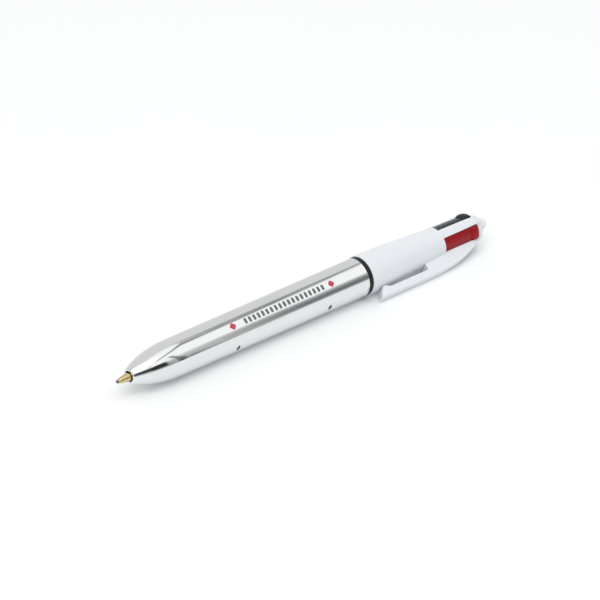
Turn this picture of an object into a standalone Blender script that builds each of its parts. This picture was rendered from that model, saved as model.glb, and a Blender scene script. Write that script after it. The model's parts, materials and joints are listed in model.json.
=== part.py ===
"""Four-colour click pen, lying at rest on its barrel and on the edge of its clip.

The pen's own axis runs along X: the writing tip points to -X and the clip cap to +X.
Stations along the axis are millimetres from the face where the upper barrel meets the
black trim ring, positive towards the cap. Each colour has its own channel round the axis:
in a channel's frame +X is the pen's axis, +Z points outwards and Y is tangential.
"""
import math

import bmesh
import bpy

MM = 0.001

# Overall stations along the axis
RIM_X = -88.7            # rim of the nose
MOUTH_X = -1.6           # mouth of the lower barrel
RIBS_END_X = 46.1        # free ends of the upper barrel's ribs
TRAVEL = 10.0            # stroke of every slide

# Lower barrel
MOUTH_R = 6.2
FRONT_R = 5.85           # radius where the nose begins
RIM_R = 2.35
NOSE_LENGTH = 18.0
NOSE_POWER = 2.6         # fullness of the nose's curve
HOLE_R = 1.68
HOLE_LIP = 0.3
HOLE_FLARE = 0.36        # slope of the funnel inside the nose
BORE_R = 4.3
SOCKET_R = 4.9           # threaded socket that takes the spigot
SOCKET_X = -11.0

# Upper barrel
SHOULDER_R = 6.45
SHOULDER_X = 2.5
WAIST_R = 5.2
WAIST_X = 29.0
WAIST_POWER = 1.25
RIB_R = 5.1
RIB_END_R = 4.95
CHAMBER_R = 4.7          # bore that holds springs and slides
SPIGOT_R = 4.75
SPIGOT_BORE_R = 4.2
SPIGOT_X = -10.0
SLOT_X = 31.2
SLOT_HALF = 2.4

# Clip and cap
CLIP_R = 9.8             # flat outer face of the clip
CLIP_HALF = 1.5
CLIP_TIP_X = 0.8
CLIP_FOOT_X = 3.4        # inner corner of the clip's slanted end
CLIP_FOOT_R = 6.55
CLIP_ARM_R = 7.45        # inner face of the clip's arm
CLIP_ROOT_X = 22.0
CLIP_BEND_X = 16.0       # from here the outer edge curves down to the cap
CLIP_CORNER = 0.7         # rounding where the gap ends at the root
CLIP_DROP = 6.1
CLIP_END_X = 48.3
NOTCH_CLEARANCE = 0.1
FIN_HALF = 0.6           # half thickness of the guide's four fins
FIN_R = 4.6
GUIDE_X = 23.0
DOME_X = 46.2
DOME_LENGTH = 3.4
DOME_TOP_R = 1.0          # radius where the dome meets its small ball
DOME_POWER = 1.1
DOME_SLOT_R = 3.5         # floor of the four slots cut into the dome
KNOB_BALL_R = 1.9
KNOB_BALL_X = 50.9

# Slides
BAR_X = 30.4
BAR_END_X = 45.9
BAR_R = 4.6
BAR_HALF = 2.2
BAR_FLOOR = 3.2
THUMB_X = 42.8
THUMB_R = 5.4
THUMB_BASE_R = 4.2
THUMB_HALF = 2.0
SPINE_HALF = 1.1
COLLAR_X = 20.9
COLLAR_R = 1.8
COLLAR_END_X = 22.2
PEG_X = 16.0
PEG_R = 0.8

# Refills
REFILL_OFFSET = 2.75     # distance of a refill from the pen's axis at its peg
TIP_OVERSHOOT = 0.2      # how far a deployed tip leans past the axis
PIVOT_X = 18.4           # middle of the peg, about which the refill tilts
BALL_X = -82.95          # centre of the writing ball with the slide back
BALL_R = 0.5
TUBE_R = 1.3
TUBE_BORE_R = 0.95
TUBE_END_X = 20.7
CONE_LENGTH = 3.3
TIP_LENGTH = 6.0
SHANK_LENGTH = 10.0
SHANK_R = 0.9
INK_R = 0.85
INK_END_X = -10.0

# Springs, disc and ring
SPRING_X = -0.25
SPRING_GAP = 0.05
SPRING_R = 1.73
WIRE_R = 0.125
SPRING_TURNS = 9
POINTS_PER_TURN = 10
DISC_R = 4.6
DISC_X = (-1.5, -0.3)
DISC_HOLE_R = 1.5
DISC_HOLE_OFFSET = 2.65
RING_X = (-1.55, -0.05)
RING_BORE_R = 4.95

# Facets
SHELL_SEGMENTS = 48
SMALL_SEGMENTS = 16

# The pen lies on its shoulder and on one edge of the clip, which sets the clip's angle.
EDGE_R = math.hypot(CLIP_R, CLIP_HALF)
EDGE_LEAN = math.atan2(CLIP_HALF, CLIP_R)
CLIP_ANGLE = math.pi - math.acos(SHOULDER_R / EDGE_R) - EDGE_LEAN
CHANNELS = {
    "black": CLIP_ANGLE - math.radians(135),
    "red": CLIP_ANGLE - math.radians(45),
    "blue": CLIP_ANGLE + math.radians(135),
    "green": CLIP_ANGLE + math.radians(45),
}
DEPLOYED = "blue"

# Lean of a deployed refill about its peg
TILT = math.asin((REFILL_OFFSET + TIP_OVERSHOOT) / (PIVOT_X - BALL_X))

# The axis is placed so that the pen's box is centred over the origin and stands on Z = 0.
LOW_X = BALL_X - TRAVEL - BALL_R
HIGH_X = KNOB_BALL_X + KNOB_BALL_R
AXIS_X = -(LOW_X + HIGH_X) / 2
AXIS_Y = (EDGE_R * math.sin(CLIP_ANGLE - EDGE_LEAN) - SHOULDER_R) / 2
AXIS_Z = SHOULDER_R

COLOURS = {
    "silver": ((0.80, 0.81, 0.82), 0.12, 1.0),
    "white": ((0.90, 0.92, 0.94), 0.35, 0.0),
    "black": ((0.025, 0.028, 0.030), 0.35, 0.0),
    "red": ((0.45, 0.012, 0.018), 0.30, 0.0),
    "blue": ((0.010, 0.040, 0.30), 0.30, 0.0),
    "green": ((0.010, 0.20, 0.060), 0.30, 0.0),
    "natural": ((0.75, 0.76, 0.74), 0.35, 0.0),
    "steel": ((0.60, 0.60, 0.60), 0.25, 1.0),
    "brass": ((0.72, 0.55, 0.22), 0.22, 1.0),
    "carbide": ((0.20, 0.20, 0.21), 0.20, 1.0),
    "ring": ((0.02, 0.02, 0.022), 0.45, 0.0),
}


def clear_scene():
    for item in list(bpy.data.objects):
        bpy.data.objects.remove(item, do_unlink=True)


def new_collection(name):
    collection = bpy.data.collections.new(name)
    bpy.context.scene.collection.children.link(collection)
    return collection


def material(name):
    colour, roughness, metallic = COLOURS[name]
    made = bpy.data.materials.get(name)
    if made is None:
        made = bpy.data.materials.new(name)
        made.use_nodes = True
        shader = made.node_tree.nodes["Principled BSDF"]
        shader.inputs["Base Color"].default_value = (*colour, 1.0)
        shader.inputs["Roughness"].default_value = roughness
        shader.inputs["Metallic"].default_value = metallic
    return made


def empty(name, location=(0, 0, 0), rotation=(0, 0, 0), parent=None):
    made = bpy.data.objects.new(name, None)
    made.empty_display_size = 5 * MM
    made.location = [v * MM for v in location]
    made.rotation_euler = rotation
    made.parent = parent
    PARTS.objects.link(made)
    return made


def place(name, data, parent, colour=None, cutter=False):
    """Put a mesh or curve into the scene as a part, or as a hidden cutter."""
    made = bpy.data.objects.new(name, data)
    made.parent = parent
    if cutter:
        made.hide_render = True
        made.display_type = "WIRE"
        CUTTERS.objects.link(made)
    else:
        data.materials.append(material(colour))
        PARTS.objects.link(made)
    return made


def turned(name, profile, parent, colour=None, closed=False, steps=SHELL_SEGMENTS, cutter=False):
    """A profile of (station, radius) pairs turned round the parent's X axis.

    The pairs run along the outer side from the cap end to the tip end. A closed profile
    comes back along the inside; an open one begins and ends on the axis.
    """
    mesh = bpy.data.meshes.new(name)
    points = [(radius * MM, 0.0, station * MM) for station, radius in profile]
    edges = [(i, i + 1) for i in range(len(points) - 1)]
    if closed:
        edges.append((len(points) - 1, 0))
    mesh.from_pydata(points, edges, [])
    made = place(name, mesh, parent, colour, cutter)
    made.rotation_euler = (0, math.pi / 2, 0)
    screw = made.modifiers.new("Turn", "SCREW")
    screw.axis = "Z"
    screw.steps = steps
    screw.render_steps = steps
    screw.use_merge_vertices = True
    screw.merge_threshold = 0.000001
    screw.use_smooth_shade = True
    return made


def box(name, low, high, parent, cutter=True):
    """A box between two corners in the parent's frame."""
    mesh = bpy.data.meshes.new(name)
    build = bmesh.new()
    bmesh.ops.create_cube(build, size=1.0)
    for vertex in build.verts:
        for axis in range(3):
            middle = (low[axis] + high[axis]) / 2
            vertex.co[axis] = (middle + vertex.co[axis] * (high[axis] - low[axis])) * MM
    build.to_mesh(mesh)
    build.free()
    return place(name, mesh, parent, cutter=cutter)


def plate(name, outline, half, parent, colour=None, across="Y", centre=0.0, cutter=False):
    """A flat outline with a thickness, as a mesh.

    With across "Y" the outline is (x, z) and the plate is `half` thick to each side of y = centre.
    With across "X" the outline is (y, z) and the plate runs along the pen about x = centre.
    """
    curve = bpy.data.curves.new(name, "CURVE")
    curve.dimensions = "2D"
    curve.fill_mode = "BOTH"
    curve.extrude = half * MM
    spline = curve.splines.new("POLY")
    spline.points.add(len(outline) - 1)
    for point, (first, second) in zip(spline.points, outline):
        point.co = (first * MM, second * MM, 0.0, 1.0)
    spline.use_cyclic_u = True
    flat = bpy.data.objects.new(name + "_outline", curve)
    CUTTERS.objects.link(flat)
    depsgraph = bpy.context.evaluated_depsgraph_get()
    mesh = bpy.data.meshes.new_from_object(flat.evaluated_get(depsgraph))
    bpy.data.objects.remove(flat, do_unlink=True)
    build = bmesh.new()
    build.from_mesh(mesh)
    bmesh.ops.remove_doubles(build, verts=build.verts, dist=0.0000005)
    for vertex in build.verts:
        first, second, depth = vertex.co
        if across == "Y":
            vertex.co = (first, centre * MM + depth, second)
        else:
            vertex.co = (centre * MM + depth, first, second)
    bmesh.ops.recalc_face_normals(build, faces=build.faces)
    build.to_mesh(mesh)
    build.free()
    mesh.name = name
    return place(name, mesh, parent, colour, cutter)


def boolean(target, other, operation):
    step = target.modifiers.new(operation.title() + "_" + other.name, "BOOLEAN")
    step.operation = operation
    step.object = other
    step.solver = "EXACT"


def blend_curve(count, function):
    """Sample a function at even steps from 0 to 1."""
    return [function(i / count) for i in range(count + 1)]


def nose_radius(depth):
    """Outer radius of the nose at a depth behind its rim."""
    return RIM_R + (FRONT_R - RIM_R) * (1 - (1 - depth / NOSE_LENGTH) ** NOSE_POWER)


def lower_barrel(pen):
    """Silver barrel: a slim taper, a blunt nose and a funnel that leads the tips to the hole."""
    nose = blend_curve(9, lambda u: (RIM_X + NOSE_LENGTH * (1 - u) ** 1.4,
                                     nose_radius(NOSE_LENGTH * (1 - u) ** 1.4)))
    funnel_end = HOLE_LIP + (BORE_R - HOLE_R) / HOLE_FLARE
    inside = [
        (RIM_X, HOLE_R),
        (RIM_X + HOLE_LIP, HOLE_R + HOLE_LIP * HOLE_FLARE / 2),
        (RIM_X + funnel_end, BORE_R),
        (SOCKET_X - 0.6, BORE_R),
        (SOCKET_X, SOCKET_R),
        (MOUTH_X, SOCKET_R),
    ]
    turned("lower_barrel", [(MOUTH_X, MOUTH_R)] + nose + inside, pen, "silver", closed=True)


def upper_radius(station):
    """Outer radius of the upper barrel between its shoulder and its waist."""
    share = (station - SHOULDER_X) / (WAIST_X - SHOULDER_X)
    return SHOULDER_R - (SHOULDER_R - WAIST_R) * share ** WAIST_POWER


def upper_barrel(pen, clip_frame, channels):
    """White barrel with a spigot at the front and three ribs left between its open slots."""
    flank = blend_curve(7, lambda u: (WAIST_X + (SHOULDER_X - WAIST_X) * u,
                                      upper_radius(WAIST_X + (SHOULDER_X - WAIST_X) * u)))
    profile = [(RIBS_END_X, RIB_END_R), (SLOT_X + 9, RIB_R)] + flank
    profile += [(1.0, SHOULDER_R - 0.07), (0.0, MOUTH_R + 0.05), (0.0, SPIGOT_R)]
    profile += [(SPIGOT_X, SPIGOT_R), (SPIGOT_X, SPIGOT_BORE_R)]
    profile += [(DISC_X[0] - 0.1, SPIGOT_BORE_R), (DISC_X[0] - 0.1, CHAMBER_R), (RIBS_END_X, CHAMBER_R)]
    barrel = turned("upper_barrel", profile, pen, "white", closed=True)
    for colour, channel in channels.items():
        slot = box("slot_" + colour, (SLOT_X, -SLOT_HALF, BAR_FLOOR), (60, SLOT_HALF, 9), channel)
        boolean(barrel, slot, "DIFFERENCE")
    reach = CLIP_HALF + NOTCH_CLEARANCE
    notch = box("clip_notch", (CLIP_ROOT_X - NOTCH_CLEARANCE, -reach, BAR_FLOOR), (60, reach, 9), clip_frame)
    boolean(barrel, notch, "DIFFERENCE")


def clip_outer(station):
    """Height of the clip's outer edge, flat along the arm and falling to the cap."""
    share = max(0.0, (station - CLIP_BEND_X) / (CLIP_END_X - CLIP_BEND_X))
    return CLIP_R - CLIP_DROP * share ** 3


def clip_outline():
    """Side view of the clip and of its root, which fills the notch in the upper barrel."""
    top = blend_curve(12, lambda u: (CLIP_BEND_X + (CLIP_END_X - CLIP_BEND_X) * u,
                                     clip_outer(CLIP_BEND_X + (CLIP_END_X - CLIP_BEND_X) * u)))
    root_floor = CHAMBER_R - 0.2
    step = DOME_X - 0.15
    corner = CLIP_ARM_R - CLIP_CORNER
    under = [(CLIP_END_X - 0.6, 2.6), (step, 2.6), (step, root_floor)]
    under += [(CLIP_ROOT_X, root_floor), (CLIP_ROOT_X, corner)]
    bend = blend_curve(4, lambda u: (CLIP_ROOT_X + CLIP_CORNER * (math.cos(u * math.pi / 2) - 1),
                                     corner + CLIP_CORNER * math.sin(u * math.pi / 2)))
    foot = [(6.4, CLIP_ARM_R), (5.5, CLIP_ARM_R - 0.35), (4.9, CLIP_FOOT_R), (CLIP_FOOT_X, CLIP_FOOT_R)]
    return [(CLIP_TIP_X, CLIP_R)] + top + under + bend[1:] + foot


def clip_cap(pen, clip_frame, channels):
    """White clip, rounded end with its small ball, and the four-finned guide, in one piece."""
    cap = plate("clip_cap", clip_outline(), CLIP_HALF, clip_frame, "white")
    guide = box("guide_fin_with_clip", (GUIDE_X, -FIN_HALF, -FIN_R), (DOME_X + 1, FIN_HALF, FIN_R), clip_frame)
    cross = box("guide_fin_across", (GUIDE_X, -FIN_R, -FIN_HALF), (DOME_X + 1, FIN_R, FIN_HALF), clip_frame)
    dome_curve = blend_curve(8, lambda u: (
        DOME_X + DOME_LENGTH * math.cos(u * math.pi / 2),
        DOME_TOP_R + (RIB_END_R - DOME_TOP_R) * math.sin(u * math.pi / 2) ** DOME_POWER))
    dome = turned("dome", [(DOME_X + DOME_LENGTH, 0.0)] + dome_curve + [(DOME_X, 0.0)], pen, cutter=True)
    for colour, channel in channels.items():
        gap = box("dome_slot_" + colour, (DOME_X - 1, -SLOT_HALF, DOME_SLOT_R), (60, SLOT_HALF, 9), channel)
        boolean(dome, gap, "DIFFERENCE")
    ball_curve = blend_curve(10, lambda u: (KNOB_BALL_X + KNOB_BALL_R * math.cos(u * math.pi),
                                            KNOB_BALL_R * math.sin(u * math.pi)))
    ball_curve[0] = (KNOB_BALL_X + KNOB_BALL_R, 0.0)
    ball_curve[-1] = (KNOB_BALL_X - KNOB_BALL_R, 0.0)
    knob = turned("end_ball", ball_curve, pen, steps=24, cutter=True)
    for addition in (guide, cross, dome, knob):
        boolean(cap, addition, "UNION")


def guide_disc(pen, channels):
    """Thin disc across the barrel: springs stand on it and refills pass through it."""
    front, rear = DISC_X
    disc = turned("guide_disc", [(rear, 0.0), (rear, DISC_R), (front, DISC_R), (front, 0.0)], pen, "natural")
    for colour, channel in channels.items():
        hole = turned("disc_hole_" + colour,
                      [(1.0, 0.0), (1.0, DISC_HOLE_R), (-3.0, DISC_HOLE_R), (-3.0, 0.0)],
                      channel, steps=SMALL_SEGMENTS, cutter=True)
        hole.location = (0, 0, DISC_HOLE_OFFSET * MM)
        boolean(disc, hole, "DIFFERENCE")


def trim_ring(pen):
    """Black ring between the two barrels."""
    front, rear = RING_X
    turned("trim_ring", [(rear, MOUTH_R), (front, MOUTH_R), (front, RING_BORE_R), (rear, RING_BORE_R)],
           pen, "ring", closed=True)


def bar_section():
    """Cross-section of the slide's bar: flat below, round on top like the pen itself."""
    reach = math.asin(BAR_HALF / BAR_R)
    arc = blend_curve(8, lambda u: (BAR_R * math.sin(reach * (1 - 2 * u)), BAR_R * math.cos(reach * (1 - 2 * u))))
    return arc + [(-BAR_HALF, BAR_FLOOR), (BAR_HALF, BAR_FLOOR)]


def spine_outline():
    """Side view of the inner spine: stem, latch tooth and stop foot."""
    return [
        (COLLAR_X + 0.4, 2.1), (COLLAR_X + 0.4, 4.0), (BAR_X + 0.8, 4.0), (BAR_X + 0.8, 3.6),
        (BAR_END_X, 3.6), (BAR_END_X, 2.2), (BAR_END_X - 1.7, 2.2), (BAR_END_X - 2.7, 3.0),
        (37.2, 3.0), (35.0, 2.4), (33.8, 2.4), (33.0, 3.0), (31.5, 3.0), (30.5, 2.1),
    ]


def thumb_outline():
    """Side view of the raised thumb button at the slide's rear end."""
    hump = blend_curve(8, lambda u: (THUMB_X + (BAR_END_X - THUMB_X) * (1 - math.cos(u * math.pi)) / 2,
                                     THUMB_BASE_R + (THUMB_R - THUMB_BASE_R) * math.sin(u * math.pi) ** 0.6))
    return [(THUMB_X, 3.6)] + hump[1:-1] + [(BAR_END_X, 4.4), (BAR_END_X, 3.6)]


def slide(colour, slider):
    """Coloured slide with its collar and the peg that carries the refill."""
    body = plate("slide_" + colour, bar_section(), (BAR_END_X - BAR_X) / 2, slider, colour,
                 across="X", centre=(BAR_END_X + BAR_X) / 2)
    spine = plate("spine_" + colour, spine_outline(), SPINE_HALF, slider, cutter=True)
    thumb = plate("thumb_" + colour, thumb_outline(), THUMB_HALF, slider, cutter=True)
    peg = turned("peg_" + colour,
                 [(COLLAR_END_X, 0.0), (COLLAR_END_X, COLLAR_R), (COLLAR_X, COLLAR_R), (COLLAR_X, PEG_R),
                  (PEG_X, PEG_R), (PEG_X, 0.0)], slider, steps=SMALL_SEGMENTS, cutter=True)
    peg.location = (0, 0, REFILL_OFFSET * MM)
    for addition in (spine, thumb, peg):
        boolean(body, addition, "UNION")


def spring(colour, channel, length):
    """Return spring round the refill, from the disc to the slide's collar."""
    curve = bpy.data.curves.new("spring_" + colour, "CURVE")
    curve.dimensions = "3D"
    curve.bevel_depth = WIRE_R * MM
    curve.bevel_resolution = 2
    curve.use_fill_caps = True
    count = SPRING_TURNS * POINTS_PER_TURN + 1
    helix = curve.splines.new("POLY")
    helix.points.add(count - 1)
    for index, point in enumerate(helix.points):
        turn = 2 * math.pi * index / POINTS_PER_TURN
        station = SPRING_X + WIRE_R + (length - 2 * WIRE_R) * index / (count - 1)
        point.co = (station * MM, SPRING_R * math.sin(turn) * MM,
                    (REFILL_OFFSET + SPRING_R * math.cos(turn)) * MM, 1.0)
    place("spring_" + colour, curve, channel, "steel")


def refill(colour, pivot):
    """Refill in the frame of its peg: brass tip with its ball, plastic tube and ink."""
    ball = BALL_X - PIVOT_X
    tip_rim = ball + 0.1
    cup = [(ball + 0.1, BALL_R + 0.03), (ball + 0.4, 0.38), (ball + 0.55, 0.0)]
    turned("writing_tip_" + colour,
           [(ball + SHANK_LENGTH, 0.0), (ball + SHANK_LENGTH, SHANK_R), (ball + TIP_LENGTH, SHANK_R),
            (ball + TIP_LENGTH, TUBE_R), (ball + CONE_LENGTH, TUBE_R), (tip_rim, BALL_R + 0.08)] + cup,
           pivot, "brass", steps=SMALL_SEGMENTS)
    sphere = blend_curve(6, lambda u: (ball + BALL_R * math.cos(u * math.pi), BALL_R * math.sin(u * math.pi)))
    sphere[0] = (ball + BALL_R, 0.0)
    sphere[-1] = (ball - BALL_R, 0.0)
    turned("ball_" + colour, sphere, pivot, "carbide", steps=12)
    front = ball + TIP_LENGTH + 0.1
    rear = TUBE_END_X - PIVOT_X
    turned("refill_tube_" + colour,
           [(rear, TUBE_R), (front, TUBE_R), (front, TUBE_BORE_R), (rear, TUBE_BORE_R)],
           pivot, "natural", closed=True, steps=SMALL_SEGMENTS)
    ink_front = ball + SHANK_LENGTH + 0.2
    ink_rear = INK_END_X - PIVOT_X
    turned("ink_" + colour, [(ink_rear, 0.0), (ink_rear, INK_R), (ink_front, INK_R), (ink_front, 0.0)],
           pivot, colour, steps=SMALL_SEGMENTS)


def colour_set(colour, channel):
    """Everything that belongs to one colour, pushed forward if it is the deployed one."""
    forward = TRAVEL if colour == DEPLOYED else 0.0
    slider = empty("slider_" + colour, (-forward, 0, 0), parent=channel)
    slide(colour, slider)
    lean = -TILT if colour == DEPLOYED else 0.0
    pivot = empty("refill_pivot_" + colour, (PIVOT_X, 0, REFILL_OFFSET), (0, lean, 0), parent=slider)
    refill(colour, pivot)
    spring(colour, channel, COLLAR_X - SPRING_GAP - SPRING_X - forward)


clear_scene()
PARTS = new_collection("four_colour_pen")
CUTTERS = new_collection("cutters")

axis = empty("pen_axis", (AXIS_X, AXIS_Y, AXIS_Z))
clip_plane = empty("clip_plane", rotation=(CLIP_ANGLE, 0, 0), parent=axis)
channel_frames = {}
for ink_colour, angle in CHANNELS.items():
    channel_frames[ink_colour] = empty("channel_" + ink_colour, rotation=(angle, 0, 0), parent=axis)

lower_barrel(axis)
trim_ring(axis)
upper_barrel(axis, clip_plane, channel_frames)
guide_disc(axis, channel_frames)
clip_cap(axis, clip_plane, channel_frames)
for ink_colour, frame in channel_frames.items():
    colour_set(ink_colour, frame)
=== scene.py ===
"""Looks of a four-colour click pen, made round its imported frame.

Lengths are millimetres until a piece is placed. A station is measured along the pen from the
face where the white body meets the black ring, positive towards the cap. A point of a piece is
(station, across, out): out points away from the pen's axis at the piece's own angle, and
across is tangential there.
"""
import json
import math

import bmesh
import bpy
import numpy as np
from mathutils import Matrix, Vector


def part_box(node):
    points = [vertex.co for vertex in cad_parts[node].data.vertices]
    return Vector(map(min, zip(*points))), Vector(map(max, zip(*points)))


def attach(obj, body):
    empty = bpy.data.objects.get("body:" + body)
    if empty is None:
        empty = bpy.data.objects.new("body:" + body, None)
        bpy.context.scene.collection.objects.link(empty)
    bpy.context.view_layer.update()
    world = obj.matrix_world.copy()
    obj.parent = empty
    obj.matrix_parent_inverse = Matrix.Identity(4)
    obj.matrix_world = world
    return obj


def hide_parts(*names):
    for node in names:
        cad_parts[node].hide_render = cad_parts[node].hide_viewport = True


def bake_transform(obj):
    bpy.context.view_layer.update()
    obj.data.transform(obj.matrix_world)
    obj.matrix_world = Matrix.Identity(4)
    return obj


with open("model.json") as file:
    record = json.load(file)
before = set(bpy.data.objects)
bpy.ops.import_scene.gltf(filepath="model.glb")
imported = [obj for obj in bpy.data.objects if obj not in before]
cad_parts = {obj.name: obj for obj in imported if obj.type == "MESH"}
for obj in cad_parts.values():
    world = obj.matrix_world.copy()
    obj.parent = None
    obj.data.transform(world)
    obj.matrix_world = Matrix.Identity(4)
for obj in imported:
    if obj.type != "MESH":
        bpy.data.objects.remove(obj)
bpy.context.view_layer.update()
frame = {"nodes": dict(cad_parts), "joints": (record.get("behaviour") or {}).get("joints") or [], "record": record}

MM = 0.001
RECORD = frame["record"]
JOINTS = {joint["name"]: joint for joint in frame["joints"]}
COUPLINGS = {row["joint"]: row for row in RECORD["behaviour"]["couplings"]}
COLOURS = ("black", "red", "blue", "green")


def span_of(node):
    """First and last station of a CAD node."""
    low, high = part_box(node)
    return low.x / MM - AXIS_X, high.x / MM - AXIS_X


def angle_of(direction):
    """Angle round the pen of a direction that points out of it."""
    return math.atan2(-direction[1], direction[2])


# Places read from the frame. A channel holds one colour's slide, and its turn from the clip
# is in degrees. FORWARD is how far a slide stands towards the nose at rest.
RING_GAP = 0.05
AXIS_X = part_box("trim_ring")[1].x / MM + RING_GAP
AXIS_Y, AXIS_Z = (value / MM for value in JOINTS["barrel_unscrew"]["pos_m"][1:])
CLIP_ANGLE = angle_of(RECORD["mounts"][0]["axis"])
FROM_CLIP = {"black": -135.0, "red": -45.0, "blue": 135.0, "green": 45.0}
CHANNELS = {name: CLIP_ANGLE + math.radians(turn) for name, turn in FROM_CLIP.items()}
FORWARD = {name: -JOINTS["push_" + name]["range_m"][0] / MM for name in COLOURS}
LEAN_PER_MM = COUPLINGS["lean_black"]["ratio"] * MM

# Silver barrel
RIM_X, MOUTH_X = span_of("lower_barrel")
MOUTH_R = 6.2
FRONT_R = 5.85
RIM_R = 2.35
NOSE_LENGTH = 18.0
NOSE_POWER = 2.6
HOLE_R = 1.68
RIM_LIP = 0.28
RIM_FILLET, HOLE_FILLET = 0.26, 0.10
HOLE_DEPTH = 0.4
FUNNEL_SLOPE = 0.36
BORE_R = 4.3
SOCKET_R = 4.9
SOCKET_X = -11.0
SOCKET_STEP = 0.6
MOUTH_LIP = 0.3
MOUTH_FILLET = 0.14
THREAD_PITCH = 2 * math.pi / COUPLINGS["barrel_unscrew"]["ratio"] / MM
THREAD_DEPTH = 0.3

# Print on the barrel: angles in degrees, sizes along and round the pen
ROW_ANGLE = 40.5
ROW_START_X, ROW_END_X, ROW_COUNT = -48.6, -18.8, 19
DASH_LENGTH, DASH_HEIGHT, DASH_POWER = 0.95, 1.75, 5.0
DIAMOND_X = (-53.4, -15.4)
DIAMOND_SIZE, DIAMOND_POWER = 2.3, 1.15
LOW_MARKS = ((-52.8, 112), (-17.4, 108))
LOW_MARK_LENGTH, LOW_MARK_HEIGHT = 1.6, 2.2
FILM, FILM_ROOT = 0.018, -0.02

# Black ring
BAND_BORE_R = 4.95
BAND_FILLET, BAND_BORE_FILLET = 0.16, 0.1

# White body
BODY_END_X = span_of("upper_barrel")[1]
BODY_STATIONS = (0.0, 1.0, 2.5)
BODY_LIP = (6.25, 6.38, 6.45)
SHOULDER_X, SHOULDER_R = 2.5, 6.45
WAIST_X, WAIST_R = 29.0, 5.2
WAIST_POWER = 1.25
RIB_X, RIB_R = 40.2, 5.1
RIB_END_R = 4.95
SMOOTHING = 2.5
SPIGOT_X = -10.0
SPIGOT_R = 4.75
SPIGOT_BORE_R = 4.2
SPIGOT_ROOT_X = 0.3
SPIGOT_EDGE = 0.3
THREAD_START_X = -1.9
THREAD_FADE = 0.8
WALL = 0.4
WALL_EDGE = 0.07
FACE_EDGE, FACE_FILLET = 0.15, 0.14
SLOT_X = 31.2
SLOT_HALF = 2.4
SLOT_LEAST_R = 4.8       # inside this radius the slots' edges keep their angles
NOTCH_X = 21.9
NOTCH_HALF = 1.6

# Clip and cap
CLIP_R = 9.8
CLIP_HALF = 1.5
CLIP_TIP_X = 0.8
CLIP_FOOT_X = 3.4
CLIP_FOOT_R = 6.55
CLIP_ARM_R = 7.45
CLIP_ROOT_X = 22.0
CLIP_ROOT_R = 4.5
CLIP_BEND_X = 16.0
CLIP_DROP = 6.1
CLIP_END_X = 48.3
CLIP_EDGE = 0.2
CLIP_SLANT_X = 2.4
CLIP_RISE_X = (4.9, 5.5, 6.4)
CLIP_CORNER_R = 0.7
CLIP_SEAT_R = 2.6
DOME_X = 46.2
DOME_LENGTH = 3.4
DOME_TOP_R = 1.0
DOME_POWER = 1.1
DOME_SLOT_OUT = 3.5
END_BALL_R = 1.9
END_BALL_X = span_of("clip_cap")[1] - END_BALL_R
NECK_R = 1.36            # where the dome runs into the ball
FIN_X = 23.0
FIN_HALF = 0.6
FIN_R = 4.6
FIN_EDGE = 0.12

# Slides
BAR_X = 30.4
BAR_END_X = 45.9
BAR_R = 4.6
BAR_HALF = 2.2
BAR_FLOOR = 3.2
THUMB_X = 42.8
THUMB_R = 5.4
THUMB_BASE_R = 4.2
THUMB_HALF = 2.0
THUMB_ROUND = 0.6        # power of the button's hump: small is square, large is pointed
THUMB_MELT = 0.06
BAR_EDGE = 0.22
SPINE_HALF = 1.1
SPINE_EDGE = 0.12
SPINE_STEP_X = 31.2
SPINE_TOP, SPINE_BAR_TOP = 4.0, 3.6
SPINE_STATIONS = (30.5, 31.5, 33.0, 33.8, 35.0, 37.2, 43.2, 44.2)
SPINE_FLOOR = (2.1, 3.0, 3.0, 2.4, 2.4, 3.0, 3.0, 2.2)
COLLAR_X = 20.9
COLLAR_END_X = 22.2
COLLAR_R = 1.8
PEG_X = 16.0
PEG_R = 0.8

# Refills and springs
CHANNEL_R = 2.75         # distance of a refill's peg from the pen's axis
PIVOT_X = 18.4
BALL_X = -82.95
BALL_R = 0.5
TUBE_R = 1.27
TUBE_BORE_R = 0.95
TUBE_END_X = 20.7
CONE_LENGTH = 3.3
TIP_LENGTH = 6.0
SHANK_LENGTH = 10.0
SHANK_R = 0.9
INK_R = 0.85
INK_END_X = -10.0
INK_DIP = 0.5
SPRING_X = -0.25
SPRING_END_X = 20.85
COIL_R = 1.73
WIRE_R = 0.125
COIL_TURNS = 9
COIL_CLOSING = 0.085 / 1.4

# Studio. Each patch of the tent has its bearings, heights, brightness and soft edges, with all
# angles in degrees. Table, board and lamp are in metres.
TENT_LEVEL = 0.78
TENT_COLOUR = (1.0, 1.0, 0.985, 1.0)
TENT_WALLS = (((-180, 180), (34, 90), 0.95, (1.0, 16.0)),  # roof
              ((84, 190), (34, 90), 1.15, (20.0, 8.0)),  # brighter panel in the roof
              ((-60, 61), (-10, 90), 0.80, (6.0, 1.0)),  # wall beyond the pen
              ((67, 73), (-5, 55), 0.46, (6.0, 4.0)))  # upright pole
TENT_SEAM = ((72, 165), (58.2, 60.8), 0.30, (6.0, 1.4))
SEAM_MIDDLE, SEAM_SAG = 120.0, 0.0026
TENT_DARKS = (((104, 143), (-8, 12), 0.50, (6.0, 24.0)),  # lower wall
              ((-110, -30), (3, 14), 0.30, (20.0, 14.0)),  # doorway
              ((158, 180), (-5, 14), 0.42, (12.0, 14.0)),  # low cloth, two halves
              ((-180, -112), (-5, 14), 0.42, (2.0, 14.0)),
              ((147.8, 152), (-5, 16), 0.03, (0.9, 6.0)),  # stand, foot and pole
              ((149.0, 152), (10, 42), 0.16, (1.2, 5.0)),
              ((163, 180), (8, 29), 0.03, (3.0, 3.0)),  # hanging cloth, two halves
              ((-180, -155), (12, 28), 0.05, (3.0, 4.0)))
TABLE_HALF = 3.0
BOARD_X, BOARD_Y, BOARD_Z = (0.03, 0.30), -0.117, (0.002, 0.120)
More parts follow.
